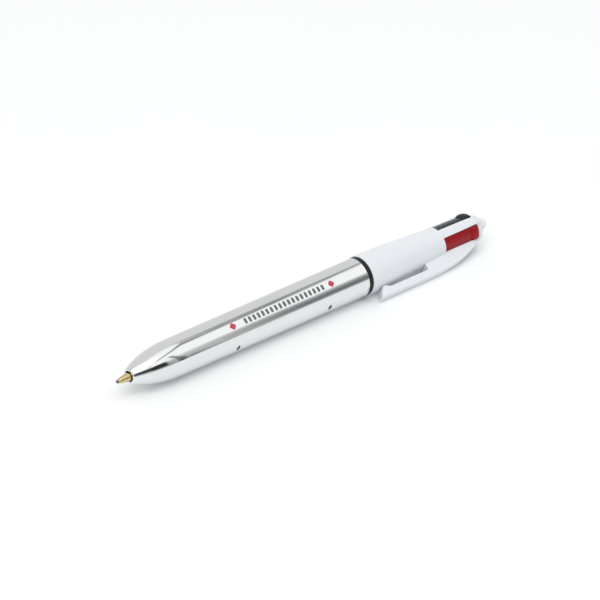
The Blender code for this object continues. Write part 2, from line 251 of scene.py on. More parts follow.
BOARD_FADES = (("X", 0.0, 0.85, 0.035, 0.075), ("Z", 0.0, 1.0, 0.006, 0.032),
               ("Z", 1.0, 0.0, 0.042, 0.112))
LAMP_PLACE, LAMP_SIZE, LAMP_POWER = (-0.35, -0.35, 0.95), (0.9, 0.7), 3.4

# Camera: it aims at a station, from a height and a bearing in degrees and a distance in metres
AIM_X = -20.0
CAMERA_HEIGHT, CAMERA_BEARING, CAMERA_DISTANCE = 29.08, 41.81, 0.8
LENS, SENSOR = 161.8, 36.0
SHIFT_X, SHIFT_Y = -0.0175, -0.0041

# Fineness of the surfaces
ROUND = 256
THREAD_ROUND = 160
SMALL_ROUND = 64
BALL_ROUND = 48
PATCH_ROUND = 40
WIRE_ROUND = 12
END_STEPS = 5
MERGE_REACH = 0.0000003  # metres


# ---- placing and meshing

def placed(points, angle=0.0):
    """Points (station, across, out) at an angle round the pen, as metres in the frame."""
    station, across, out = np.moveaxis(np.asarray(points, float), -1, 0)
    y = AXIS_Y + across * math.cos(angle) - out * math.sin(angle)
    z = AXIS_Z + across * math.sin(angle) + out * math.cos(angle)
    return np.stack((AXIS_X + station, y, z), -1) * MM


def wrapped(station, radius, angle):
    """Points at a station, a distance from the pen's axis and an angle round it, placed."""
    points = np.broadcast_arrays(station, -radius * np.sin(angle), radius * np.cos(angle))
    return placed(np.stack(points, -1))


def leaned(points, colour):
    """Points (x, across, out) measured from a refill's peg, leaned and moved to the channel.

    The refill turns about the across direction by its lean, so that the tip of a refill that
    is pushed out comes to the pen's axis.
    """
    forward = FORWARD[colour]
    lean = LEAN_PER_MM * forward
    along, across, out = np.moveaxis(np.asarray(points, float), -1, 0)
    station = PIVOT_X - forward + along * math.cos(lean) - out * math.sin(lean)
    height = CHANNEL_R + along * math.sin(lean) + out * math.cos(lean)
    return placed(np.stack((station, across, height), -1), CHANNELS[colour])


def cells(grid, wrap, kept=None):
    """Corner numbers of a grid's cells. With wrap the last column joins the first one."""
    rows, columns = grid.shape[:2]
    index = np.arange(rows * columns).reshape(rows, columns)
    if wrap:
        index = np.hstack((index, index[:, :1]))
    corners = np.stack((index[:-1, :-1], index[:-1, 1:], index[1:, 1:], index[1:, :-1]), -1)
    return corners.reshape(-1, 4) if kept is None else corners[kept]


def surface(name, grids, finish, wrap=True, kept=None, sharp=32.0):
    """One mesh object from one or more grids of placed points, (rows, columns, 3) each.

    Doubled points at poles, seams and narrow ends are merged, and the faces turned outwards.
    """
    points = np.concatenate([grid.reshape(-1, 3) for grid in grids])
    starts = np.cumsum([0] + [grid.shape[0] * grid.shape[1] for grid in grids[:-1]])
    faces = np.concatenate([cells(grid, wrap, kept) + start for grid, start in zip(grids, starts)])
    mesh = bpy.data.meshes.new(name)
    mesh.vertices.add(len(points))
    mesh.vertices.foreach_set("co", points.astype(np.float32).ravel())
    mesh.loops.add(faces.size)
    mesh.loops.foreach_set("vertex_index", faces.astype(np.int32).ravel())
    mesh.polygons.add(len(faces))
    mesh.polygons.foreach_set("loop_start", np.arange(0, faces.size, 4, dtype=np.int32))
    mesh.update(calc_edges=True)
    build = bmesh.new()
    build.from_mesh(mesh)
    bmesh.ops.remove_doubles(build, verts=build.verts, dist=MERGE_REACH)
    loose = [vertex for vertex in build.verts if not vertex.link_faces]
    bmesh.ops.delete(build, geom=loose, context="VERTS")
    bmesh.ops.recalc_face_normals(build, faces=build.faces)
    build.to_mesh(mesh)
    build.free()
    mesh.shade_smooth()
    mesh.set_sharp_from_angle(angle=math.radians(sharp))
    mesh.materials.append(finish)
    piece = bpy.data.objects.new(name, mesh)
    bpy.context.scene.collection.objects.link(piece)
    return piece


def belongs(piece, body, slot, *nodes):
    """The piece rides on a body and stands for CAD nodes, which are hidden; the slot is not used."""
    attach(piece, body)
    if nodes:
        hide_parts(*nodes)


# ---- profiles and sections

def run(start, end, count):
    """Values from start to end, closer together towards both ends (half a cosine wave)."""
    share = (1 - np.cos(np.linspace(0, math.pi, count))) / 2
    return start + (end - start) * share


def between(first, last, count):
    """Points of a straight stretch of profile between two (station, radius) ends."""
    return np.stack((run(first[0], last[0], count), run(first[1], last[1], count)), -1)


def rounded(corners, steps=6):
    """A closed profile through (station, radius, fillet) corners.

    Each corner is cut at its fillet's length on both sides and joined by the parabola that
    touches both sides there.
    """
    corners = np.array(corners, float)
    points, fillet = corners[:, :2], corners[:, 2:]
    back = np.roll(points, 1, 0) - points
    ahead = np.roll(points, -1, 0) - points
    back = points + back / np.linalg.norm(back, axis=1, keepdims=True) * fillet
    ahead = points + ahead / np.linalg.norm(ahead, axis=1, keepdims=True) * fillet
    share = np.linspace(0, 1, steps + 1)[:, None]
    curves = (back[:, None] * (1 - share) ** 2 + 2 * points[:, None] * share * (1 - share)
              + ahead[:, None] * share ** 2)
    return curves.reshape(-1, 2)


def turned(profile, columns=ROUND, centre=0.0):
    """A profile of (station, radius) turned round: across = r sin a, out = centre + r cos a."""
    station, radius = np.asarray(profile, float).T
    angle = np.linspace(0, 2 * math.pi, columns, endpoint=False)
    across = radius[:, None] * np.sin(angle)
    out = centre + radius[:, None] * np.cos(angle)
    return np.stack((np.broadcast_to(station[:, None], across.shape), across, out), -1)


def section(steps=5, side=6):
    """Unit section of a bar with round edges, once round it.

    Returns the corner signs and the fillet directions of each point: a point is
    sign * (half size - fillet) + direction * fillet, with straight sides cut into parts.
    """
    quarter = np.linspace(0, math.pi / 2, steps + 1)
    share = np.linspace(0, 1, side + 1)[1:-1, None]
    corners = np.array([(1, 1), (-1, 1), (-1, -1), (1, -1), (1, 1)], float)
    signs, directions = [], []
    for corner, (sign, after) in enumerate(zip(corners, corners[1:])):
        turn = quarter + corner * math.pi / 2
        signs.append(np.tile(sign, (steps + 1, 1)))
        directions.append(np.stack((np.cos(turn), np.sin(turn)), -1))
        signs.append(sign + (after - sign) * share)
        directions.append(np.tile(directions[-1][-1], (side - 1, 1)))
    return np.concatenate(signs), np.concatenate(directions)


def bar(station, low, high, half, fillet, crown=0.0, slant=0.0):
    """A bar along the pen whose lower and upper faces follow two curves.

    At each station the section is a rectangle with round edges, from low to high and half
    wide to each side. The two end faces are rounded by drawing the section in along a quarter
    circle, and closed at its middle. With a crown radius the section's top falls away by
    across squared over twice the radius. A slant carries each point forward in proportion to
    its depth below the top.
    """
    station, low, high = (np.asarray(value, float) for value in (station, low, high))
    half = np.broadcast_to(np.asarray(half, float), station.shape)
    slant = np.broadcast_to(np.asarray(slant, float), station.shape)
    arc = np.linspace(0, math.pi / 2, END_STEPS)
    inset = fillet * (1 - np.sin(arc))
    move = fillet * (1 - np.cos(arc))
    first = [np.full(END_STEPS, value[0]) for value in (low, high, half, slant)]
    last = [np.full(END_STEPS, value[-1]) for value in (low, high, half, slant)]
    inner = (station > station[0] + fillet) & (station < station[-1] - fillet)
    rows = np.concatenate((station[0] + move, station[inner], station[-1] - move[::-1]))
    inset = np.concatenate((inset, np.zeros(inner.sum()), inset[::-1]))
    low, high, half, slant = (np.concatenate((a, value[inner], b)) for a, value, b in
                              zip(first, (low, high, half, slant), last))
    signs, directions = section()
    radius = np.maximum(fillet - inset, 0.0)[:, None]
    reach = (half - inset)[:, None] - radius
    height = ((high - low) / 2 - inset)[:, None] - radius
    middle = ((high + low) / 2)[:, None]
    across = signs[:, 0] * reach + directions[:, 0] * radius
    out = middle + signs[:, 1] * height + directions[:, 1] * radius
    share = (out - low[:, None]) / (high - low)[:, None]
    if crown:
        out = out - share * across ** 2 / (2 * crown)
    along = rows[:, None] + slant[:, None] * (1 - share)
    grid = np.stack((along, across, out), -1)
    ends = grid[[0, -1]].mean(axis=1, keepdims=True)
    return np.concatenate((np.broadcast_to(ends[:1], grid[:1].shape), grid,
                           np.broadcast_to(ends[1:], grid[:1].shape)))


# ---- finishes

class Finish:
    """A material in the making: a Principled shader and the patterns that feed it."""

    def __init__(self, name, colour, roughness, metallic=0.0):
        self.material = bpy.data.materials.new(name)
        self.material.use_nodes = True
        tree = self.material.node_tree
        self.nodes, self.links = tree.nodes, tree.links
        self.shader = self.nodes["Principled BSDF"]
        self.shader.inputs["Base Color"].default_value = (*colour, 1.0)
        self.shader.inputs["Roughness"].default_value = roughness
        self.shader.inputs["Metallic"].default_value = metallic
        self.colour = colour
        self.place = self.nodes.new("ShaderNodeTexCoord").outputs["Object"]
        self.normal = None

    def set(self, **values):
        """Constant values on the shader's own sockets."""
        for name, value in values.items():
            self.shader.inputs[name.replace("_", " ")].default_value = value

    def noise(self, scale, stretch=(1.0, 1.0, 1.0), detail=3.0):
        """Cloudy pattern of a scale per metre, drawn out where the stretch is below one."""
        mapping = self.nodes.new("ShaderNodeMapping")
        mapping.inputs["Scale"].default_value = stretch
        self.links.new(self.place, mapping.inputs["Vector"])
        texture = self.nodes.new("ShaderNodeTexNoise")
        texture.inputs["Scale"].default_value = scale
        texture.inputs["Detail"].default_value = detail
        self.links.new(mapping.outputs["Vector"], texture.inputs["Vector"])
        return texture.outputs["Fac"]

    def rings(self, scale):
        """Fine rings across the pen, as a turning tool leaves them."""
        texture = self.nodes.new("ShaderNodeTexWave")
        texture.bands_direction = "X"
        texture.inputs["Scale"].default_value = scale
        texture.inputs["Distortion"].default_value = 0.5
        texture.inputs["Detail"].default_value = 2.0
        self.links.new(self.place, texture.inputs["Vector"])
        return texture.outputs["Fac"]

    def specks(self, scale):
        """Small cells, by the distance from the middle of each."""
        texture = self.nodes.new("ShaderNodeTexVoronoi")
        texture.inputs["Scale"].default_value = scale
        self.links.new(self.place, texture.inputs["Vector"])
        return texture.outputs["Distance"]

    def ranged(self, value, low, high, start=0.25, end=0.75):
        """A pattern's start to end, spread over low to high."""
        spread = self.nodes.new("ShaderNodeMapRange")
        names = ("From Min", "From Max", "To Min", "To Max")
        for name, number in zip(names, (start, end, low, high)):
            spread.inputs[name].default_value = number
        self.links.new(value, spread.inputs["Value"])
        return spread.outputs["Result"]

    def roughen(self, value, low, high):
        """The roughness follows a pattern from low to high."""
        self.links.new(self.ranged(value, low, high), self.shader.inputs["Roughness"])

    def tint(self, value, other, share=1.0, start=0.25, end=0.75):
        """The base colour goes towards another one where a pattern is high."""
        mix = self.nodes.new("ShaderNodeMix")
        mix.data_type = "RGBA"
        mix.inputs["A"].default_value = (*self.colour, 1.0)
        mix.inputs["B"].default_value = (*other, 1.0)
        self.links.new(self.ranged(value, 0.0, share, start, end), mix.inputs["Factor"])
        self.links.new(mix.outputs["Result"], self.shader.inputs["Base Color"])

    def relief(self, value, height):
        """A pattern raises the surface by a height in millimetres."""
        bump = self.nodes.new("ShaderNodeBump")
        bump.inputs["Strength"].default_value = 1.0
        bump.inputs["Distance"].default_value = height * MM
        self.links.new(value, bump.inputs["Height"])
        if self.normal is not None:
            self.links.new(self.normal, bump.inputs["Normal"])
        self.normal = bump.outputs["Normal"]
        self.links.new(self.normal, self.shader.inputs["Normal"])


def silver_film():
    """Metallised barrel: mirror bright, drawn slightly wavy along its length, with hairlines."""
    finish = Finish("silver_film", (0.80, 0.81, 0.82), 0.08, 1.0)
    finish.roughen(finish.noise(900, (0.12, 1, 1)), 0.055, 0.13)
    finish.tint(finish.noise(160, (0.3, 1, 1)), (0.76, 0.775, 0.79))
    finish.relief(finish.noise(220, (0.10, 1, 1), 1.0), 0.006)
    finish.relief(finish.noise(9000, (0.02, 1, 1), 2.0), 0.0004)
    return finish.material


def moulded_white():
    """Satin white moulding with a soft, slightly uneven skin."""
    finish = Finish("moulded_white", (0.80, 0.83, 0.87), 0.34)
    finish.set(Specular_IOR_Level=0.45, Subsurface_Weight=0.08, Subsurface_Scale=0.0006,
               Subsurface_Radius=(1.0, 0.9, 0.8))
    finish.roughen(finish.noise(1400), 0.28, 0.42)
    finish.tint(finish.noise(260), (0.77, 0.80, 0.845))
    finish.relief(finish.noise(420, detail=1.0), 0.006)
    finish.relief(finish.noise(7000), 0.0012)
    return finish.material


def ring_black():
    """Satin black ring with a fine even grain."""
    finish = Finish("ring_satin_black", (0.010, 0.011, 0.013), 0.42)
    finish.roughen(finish.noise(2600), 0.34, 0.52)
    finish.set(Specular_IOR_Level=0.22)
    finish.tint(finish.noise(700), (0.018, 0.019, 0.021))
    finish.relief(finish.noise(9000), 0.0015)
    return finish.material


def slide_plastic(name, colour, worn):
    """Coloured moulding, glossy, with handling marks that run along the stroke."""
    finish = Finish(name, colour, 0.30)
    finish.set(Specular_IOR_Level=0.24)
    finish.roughen(finish.noise(1500, (0.35, 1, 1)), 0.24, 0.42)
    finish.tint(finish.noise(500, (0.4, 1, 1)), worn)
    finish.relief(finish.noise(520, detail=1.0), 0.006)
    finish.relief(finish.noise(8000, (0.15, 1, 1)), 0.0012)
    return finish.material


def turned_brass():
    """Turned brass with fine rings and darker clouds."""
    finish = Finish("turned_brass", (0.66, 0.56, 0.30), 0.20, 1.0)
    finish.roughen(finish.noise(3000), 0.14, 0.28)
    finish.tint(finish.noise(1100), (0.56, 0.46, 0.22))
    finish.relief(finish.rings(1500), 0.0008)
    return finish.material


def clouded(name, colour, roughness, metallic, rough, tint, relief):
    """Roughness, colour and surface each follow clouds: a scale, then what it ranges over."""
    finish = Finish(name, colour, roughness, metallic)
    finish.roughen(finish.noise(rough[0]), *rough[1:])
    finish.tint(finish.noise(tint[0]), tint[1])
    finish.relief(finish.noise(relief[0]), relief[1])
    return finish.material


def refill_tube():
    """Translucent extruded tube, milky, with faint lines along it."""
    finish = Finish("refill_tube", (0.84, 0.86, 0.86), 0.28)
    finish.set(Transmission_Weight=0.75, IOR=1.5)
    finish.roughen(finish.noise(900, (0.1, 1, 1)), 0.20, 0.38)
    finish.tint(finish.noise(300, (0.1, 1, 1)), (0.78, 0.81, 0.82))
    finish.relief(finish.noise(4000, (0.05, 1, 1)), 0.0015)
    return finish.material


def ink_paste(name, colour):
    """Oily writing paste with a wet surface and small streaks."""
    finish = Finish(name, colour, 0.15)
    finish.set(Specular_IOR_Level=0.6)
    finish.roughen(finish.noise(1800), 0.08, 0.22)
    finish.tint(finish.noise(900, (0.3, 1, 1)), tuple(value * 0.6 for value in colour))
    finish.relief(finish.noise(1500), 0.004)
    return finish.material


def printed_ink(name, colour):
    """Pad print on the barrel: a matt film, paler in small specks."""
    finish = Finish(name, colour, 0.45)
    finish.roughen(finish.noise(6000), 0.36, 0.60)
    faded = tuple(min(1.0, value + 0.12) for value in colour)
    finish.tint(finish.specks(9000), faded, share=0.5, start=0.4, end=0.9)
    finish.relief(finish.noise(9000), 0.0015)
    return finish.material


# ---- silver barrel and ring

def barrel_radius(station):
    """Outside of the silver barrel.

    Behind the nose the radius grows evenly to the mouth. On the nose it is the rim's radius
    plus the rest times one minus (one minus depth over the nose's length) to a power.
    """
    depth = np.clip(np.asarray(station, float) - RIM_X, 0.0, NOSE_LENGTH)
    nose = RIM_R + (FRONT_R - RIM_R) * (1 - (1 - depth / NOSE_LENGTH) ** NOSE_POWER)
    share = np.clip((station - RIM_X - NOSE_LENGTH) / (MOUTH_X - RIM_X - NOSE_LENGTH), 0.0, 1.0)
    return nose + (MOUTH_R - FRONT_R) * share


def silver_barrel():
    """Barrel turned from one closed profile: outside, rounded rim, funnel, bore and socket.

    Outside, the radius at each station is that of barrel_radius. On the nose the stations
    follow the share of its length to a power, so that they crowd towards the rim. Inside, the
    radius grows evenly from the hole to the bore, and steps out to the socket.
    """
    front, rear = RIM_X + RIM_LIP, MOUTH_X - MOUTH_LIP
    outside = run(rear, RIM_X + NOSE_LENGTH, 90)
    nose = front + (NOSE_LENGTH - RIM_LIP) * np.linspace(1, 0, 70) ** 1.3
    outer = np.concatenate((outside, nose[1:]))
    hole_end = RIM_X + HOLE_DEPTH
    funnel_end = RIM_X + 0.3 + (BORE_R - HOLE_R) / FUNNEL_SLOPE
    mouth_edge = rounded([(MOUTH_X, SOCKET_R, 0.0), (MOUTH_X, MOUTH_R, MOUTH_FILLET),
                          (rear, float(barrel_radius(rear)), 0.0)])
    rim_edge = rounded([(front, float(barrel_radius(front)), 0.0), (RIM_X, RIM_R, RIM_FILLET),
                        (RIM_X, HOLE_R, HOLE_FILLET), (hole_end, HOLE_R, 0.0)])
    profile = np.concatenate((
        mouth_edge, np.stack((outer, barrel_radius(outer)), -1), rim_edge,
        between((hole_end, HOLE_R + 0.02), (funnel_end, BORE_R), 12),
        between((funnel_end + 0.1, BORE_R), (SOCKET_X - SOCKET_STEP, BORE_R), 20),
        between((SOCKET_X, SOCKET_R), (MOUTH_X - 0.1, SOCKET_R), 20),
        mouth_edge[:1]))
    piece = surface("barrel_shell", [placed(turned(profile))], silver_film(), sharp=40.0)
    belongs(piece, "front", "barrel_silver", "lower_barrel")


def printed_patch(station, turn, length, height, power):
    """A thin raised patch on the barrel at a turn in degrees, as rings round its middle.

    In the plane of the barrel's skin the edge is a superellipse: |x / length| to a power plus
    |y / height| to the same power is one. A power of one makes a diamond, a high one a bar.
    The film swells from under the skin at its edge to its full thickness inside.
    """
    ring = np.array([0.0, 0.5, 0.85, 0.95, 1.0, 1.0, 0.5, 0.0])
    lift = np.array([FILM, FILM, FILM, FILM * 0.8, 0.0, FILM_ROOT, FILM_ROOT, FILM_ROOT])
    sweep = np.linspace(0, 2 * math.pi, PATCH_ROUND, endpoint=False)
    cosine, sine = np.cos(sweep), np.sin(sweep)
    size = (np.abs(cosine) ** power + np.abs(sine) ** power) ** (-1.0 / power)
    along = station + ring[:, None] * size * cosine * length / 2
    arc = ring[:, None] * size * sine * height / 2
    radius = barrel_radius(along) + lift[:, None]
    return wrapped(along, radius, math.radians(turn) + arc / barrel_radius(along))


def barrel_print():
    """Plain decoration: a row of equal bars between two red diamonds, and two small diamonds."""
    dashes = [printed_patch(station, ROW_ANGLE, DASH_LENGTH, DASH_HEIGHT, DASH_POWER)
              for station in np.linspace(ROW_START_X, ROW_END_X, ROW_COUNT)]
    diamonds = [printed_patch(station, ROW_ANGLE, DIAMOND_SIZE, DIAMOND_SIZE, DIAMOND_POWER)
                for station in DIAMOND_X]
    low_marks = [printed_patch(station, turn, LOW_MARK_LENGTH, LOW_MARK_HEIGHT, DIAMOND_POWER)
                 for station, turn in LOW_MARKS]
    for name, patches, ink, colour in (("bars", dashes, "print_grey", (0.11, 0.12, 0.13)),
                                       ("diamonds", diamonds, "print_red", (0.50, 0.03, 0.07)),
                                       ("low_marks", low_marks, "print_dark", (0.05, 0.06, 0.06))):
        piece = surface("barrel_print_" + name, patches, printed_ink(ink, colour))
        belongs(piece, "front", "barrel_silver")


def black_ring():
    """Ring turned from a closed profile: a rectangle from the bore to the barrel's mouth radius
    and from its front to its rear station, with a fillet on each corner.
    """
    front, rear = span_of("trim_ring")
    profile = rounded([(rear, BAND_BORE_R, BAND_BORE_FILLET), (rear, MOUTH_R, BAND_FILLET),
                       (front, MOUTH_R, BAND_FILLET), (front, BAND_BORE_R, BAND_BORE_FILLET)])
    profile = np.concatenate((profile, profile[:1]))
    band = surface("ring_band", [placed(turned(profile))], ring_black())
    belongs(band, "ring", "ring_black", "trim_ring")


# ---- white body

def body_radius(station):
    """Outside of the white body, smoothed by averaging it over a sliding window.

    A short lip rises to the shoulder. From there the radius falls with a power of the
    distance to the waist, and then evenly along the ribs.
    """
    station = np.asarray(station, float)
    window = np.clip(np.minimum(station, BODY_END_X - station), 0.0, SMOOTHING)
    sample = station[..., None] + window[..., None] * np.linspace(-1, 1, 21)
    share = np.clip((sample - SHOULDER_X) / (WAIST_X - SHOULDER_X), 0.0, 1.0)
    flank = SHOULDER_R - (SHOULDER_R - WAIST_R) * share ** WAIST_POWER
    lip = np.interp(sample, BODY_STATIONS, BODY_LIP)
    ribs = np.interp(sample, (WAIST_X, RIB_X, BODY_END_X), (WAIST_R, RIB_R, RIB_END_R))
    radius = np.where(sample < SHOULDER_X, lip, np.where(sample < WAIST_X, flank, ribs))
    return radius.mean(axis=-1)


def body_grid():
    """White body as a grid of stations by angles, and which of its cells are kept.

    The columns run between the edges of the slots and of the clip's notch. These are straight
    along the pen, so at each station an edge's angle is the arcsine of its distance from the
    channel's middle over the radius. Cells inside a slot or the notch are left out.
    """
    face_r = BODY_LIP[0] - FACE_EDGE
    face = between((0.0, SPIGOT_R), (0.0, face_r), 6)
    edge = rounded([(0.0, face_r, 0.0), (0.0, BODY_LIP[0], FACE_FILLET), (0.3, 6.29, 0.0)])[7:14]
    station = np.concatenate((run(0.32, NOTCH_X, 60), run(NOTCH_X, SLOT_X, 30)[1:],
                              run(SLOT_X, BODY_END_X, 44)[1:]))
    profile = np.concatenate((face, edge, np.stack((station, body_radius(station)), -1)))
    station, radius = profile.T
    reach = np.maximum(radius, SLOT_LEAST_R)
    slot = np.degrees(np.arcsin(SLOT_HALF / reach))
    notch = np.minimum(np.degrees(np.arcsin(NOTCH_HALF / reach)), 45 - slot)
    edges = [-135 - slot, -135 + slot, -45 - slot, -45 + slot, -notch, notch,
             45 - slot, 45 + slot, 135 - slot, 135 + slot, 225 - slot]
    edges = np.radians(np.stack(edges, -1))
    counts = (34, 22, 34, 3, 20, 3, 34, 22, 34, 22)
    kinds = ("slot", "rib", "slot", "side", "notch", "side", "slot", "rib", "slot", "rib")
    part = np.repeat(np.arange(len(counts)), counts)
    share = np.concatenate([np.arange(count) / count for count in counts])
    angle = CLIP_ANGLE + edges[:, part] * (1 - share) + edges[:, part + 1] * share
    grid = wrapped(station[:, None], radius[:, None], angle)
    middle = ((station[:-1] + station[1:]) / 2)[:, None]
    kind = np.array(kinds)[part]
    gone = ((kind == "slot") & (middle > SLOT_X)) | ((kind == "notch") & (middle > NOTCH_X))
    return grid, ~gone


def white_body():
    """Shell with open slots, given its wall and small round edges by modifiers."""
    grid, kept = body_grid()
    finish = moulded_white()
    shell = surface("body_shell", [grid], finish, kept=kept)
    wall = shell.modifiers.new("Wall", "SOLIDIFY")
    wall.thickness = WALL * MM
    wall.offset = -1.0
    wall.use_even_offset = True
    edges = shell.modifiers.new("Edges", "BEVEL")
    edges.width = WALL_EDGE * MM
    edges.segments = 3
    edges.limit_method = "ANGLE"
    edges.angle_limit = math.radians(50)
    belongs(shell, "upper", "body_white", "upper_barrel")
    return finish


def spigot(finish):
    """Screw spigot at the front of the body.

    The thread is a helix: the radius dips by the thread's depth with a rounded wave whose
    phase is the station over the pitch minus the angle over a full turn, fading out at both ends.
    """
    edge_x = SPIGOT_X + SPIGOT_EDGE
    station = np.concatenate((np.linspace(SPIGOT_ROOT_X, edge_x, 200),
                              edge_x - np.linspace(0.05, SPIGOT_EDGE, 5)))
    angle = np.linspace(0, 2 * math.pi, THREAD_ROUND, endpoint=False)
    phase = (station[:, None] / THREAD_PITCH - angle / (2 * math.pi)) * 2 * math.pi
    fade = (np.clip((THREAD_START_X - station) / THREAD_FADE, 0, 1)
            * np.clip((station - SPIGOT_X - 0.7) / THREAD_FADE, 0, 1))
    groove = np.clip(0.5 + 0.75 * np.sin(phase), 0, 1) * THREAD_DEPTH * fade[:, None]
    end = 0.25 * (1 - np.sqrt(1 - np.clip((edge_x - station) / 0.32, 0, 0.99) ** 2))
    radius = SPIGOT_R - groove - end[:, None]
    inside = np.array([(SPIGOT_X, SPIGOT_BORE_R + 0.1), (SPIGOT_X + 0.1, SPIGOT_BORE_R),
                       (SPIGOT_ROOT_X, SPIGOT_BORE_R)])
    station = np.concatenate((station, inside[:, 0], station[:1]))
    radius = np.concatenate((radius, np.repeat(inside[:, 1:], THREAD_ROUND, axis=1), radius[:1]))
    grid = np.stack((np.broadcast_to(station[:, None], radius.shape), radius * np.sin(angle),
                     radius * np.cos(angle)), -1)
    belongs(surface("body_spigot", [placed(grid)], finish, sharp=50.0), "upper", "body_white")


# ---- clip and cap

def clip_blade(finish):
    """Clip with its foot, its long gap and its root in the body's notch.

    The outer edge is straight along the arm, then falls with the cube of the distance past
    the bend. The inner edge follows the foot, the arm, a quarter circle, the root and the seat
    in the dome. The tip slants back by the foot's length, less and less along the blade.
    """
    seat_x = DOME_X - 0.149
    station = np.concatenate((np.linspace(CLIP_TIP_X, 3.6, 8), run(3.6, 6.6, 22),
                              np.linspace(7.0, 21.0, 36), run(21.3, CLIP_ROOT_X - 0.001, 14),
                              (CLIP_ROOT_X,), np.linspace(CLIP_ROOT_X + 0.3, DOME_X - 0.15, 60),
                              (seat_x,), np.linspace(DOME_X, CLIP_END_X, 14)))
    share = np.clip((station - CLIP_BEND_X) / (CLIP_END_X - CLIP_BEND_X), 0.0, 1.0)
    high = CLIP_R - CLIP_DROP * share ** 3
    arm = np.interp(station, CLIP_RISE_X, (CLIP_FOOT_R, CLIP_ARM_R - 0.35, CLIP_ARM_R))
    turn = np.clip(station - CLIP_ROOT_X + CLIP_CORNER_R, 0, CLIP_CORNER_R)
    bend = np.sqrt(np.clip(CLIP_CORNER_R ** 2 - turn ** 2, 0, None)) - CLIP_CORNER_R
    low = np.where(station < CLIP_ROOT_X, arm + bend, CLIP_ROOT_R)
    low = np.where(station >= seat_x, CLIP_SEAT_R, low)
    depth = CLIP_FOOT_X - CLIP_TIP_X
    slant = depth * np.clip(1 - (station - CLIP_TIP_X) / CLIP_SLANT_X, 0, 1)
    blade = bar(station, low, high, CLIP_HALF, CLIP_EDGE, slant=slant)
    piece = surface("clip_blade", [placed(blade, CLIP_ANGLE)], finish)
    belongs(piece, "upper", "body_white", "clip_cap")


def cap_dome(finish):
    """Rounded end of the pen with flats behind the four slides, and its small ball.

    Along the pen, the dome's radius is its top radius plus the rest times the sine of an angle
    to a power, while the station goes with its cosine, and the ball is a sphere. Each ring is
    made of four flats, eight short walls and four arcs: the flat reaches across to the slot's
    edge or to where the circle meets it, the wall rises to the circle, and the arc goes on to
    the next channel.
    """
    fall = RIB_END_R - DOME_TOP_R
    neck_angle = math.asin(((NECK_R - DOME_TOP_R) / fall) ** (1 / DOME_POWER))
    turn = np.linspace(math.pi / 2, neck_angle, 36)
    dome_r = DOME_TOP_R + fall * np.sin(turn) ** DOME_POWER
    ball = np.linspace(math.pi - math.asin(NECK_R / END_BALL_R), 0, 44)[1:]
    station = np.concatenate(((DOME_X, DOME_X), DOME_X + DOME_LENGTH * np.cos(turn),
                              END_BALL_X + END_BALL_R * np.cos(ball)))
    radius = np.concatenate(((0.0, RIB_END_R - 0.05), dome_r, END_BALL_R * np.sin(ball)))
    flat = np.minimum(DOME_SLOT_OUT, radius)
    corner = np.minimum(SLOT_HALF, np.sqrt(np.clip(radius ** 2 - flat ** 2, 0, None)))
    rise = np.sqrt(np.clip(radius ** 2 - corner ** 2, 0, None))
    half = np.arcsin(np.clip(corner / np.maximum(radius, 0.001), 0, 1))
    radius, flat, corner, rise, half = (row[:, None] for row in (radius, flat, corner, rise, half))
    part = np.linspace(-1, 1, 16, endpoint=False)
    step = np.linspace(0, 1, 4, endpoint=False)
    edge = corner + 0 * step
    sweep = half + (math.pi / 2 - 2 * half) * np.linspace(0, 1, 24, endpoint=False)
    flats = np.stack((corner * part, flat + 0 * part), -1)
    walls = np.stack((edge, flat + (rise - flat) * step), -1)
    arcs = np.stack((radius * np.sin(sweep), radius * np.cos(sweep)), -1)
    back = np.stack((flat + (rise - flat) * (1 - step), edge), -1)
    side = np.concatenate((flats, walls, arcs, back), axis=1)
    quarter = []
    for index in range(4):
        angle = index * math.pi / 2
        across = side[..., 0] * math.cos(angle) + side[..., 1] * math.sin(angle)
        out = -side[..., 0] * math.sin(angle) + side[..., 1] * math.cos(angle)
        quarter.append(np.stack((across, out), -1))
    ring = np.concatenate(quarter, axis=1)
    grid = np.concatenate((np.broadcast_to(station[:, None, None], (*ring.shape[:2], 1)), ring), -1)
    belongs(surface("cap_dome", [placed(grid, CHANNELS["red"])], finish), "upper", "body_white")


def guide_fins(finish):
    """Cross of two fins inside the body, between the four slides.

    Each fin is a flat bar through the pen's axis, the same height to both sides, one along the
    clip's direction and one a quarter turn from it.
    """
    station = np.linspace(FIN_X, DOME_X + 1, 40)
    level = np.full(station.shape, FIN_R)
    plate = bar(station, -level, level, FIN_HALF, FIN_EDGE)
    grids = [placed(plate, CLIP_ANGLE), placed(plate, CLIP_ANGLE + math.pi / 2)]
    belongs(surface("guide_fins", grids, finish), "upper", "body_white")


# ---- slides

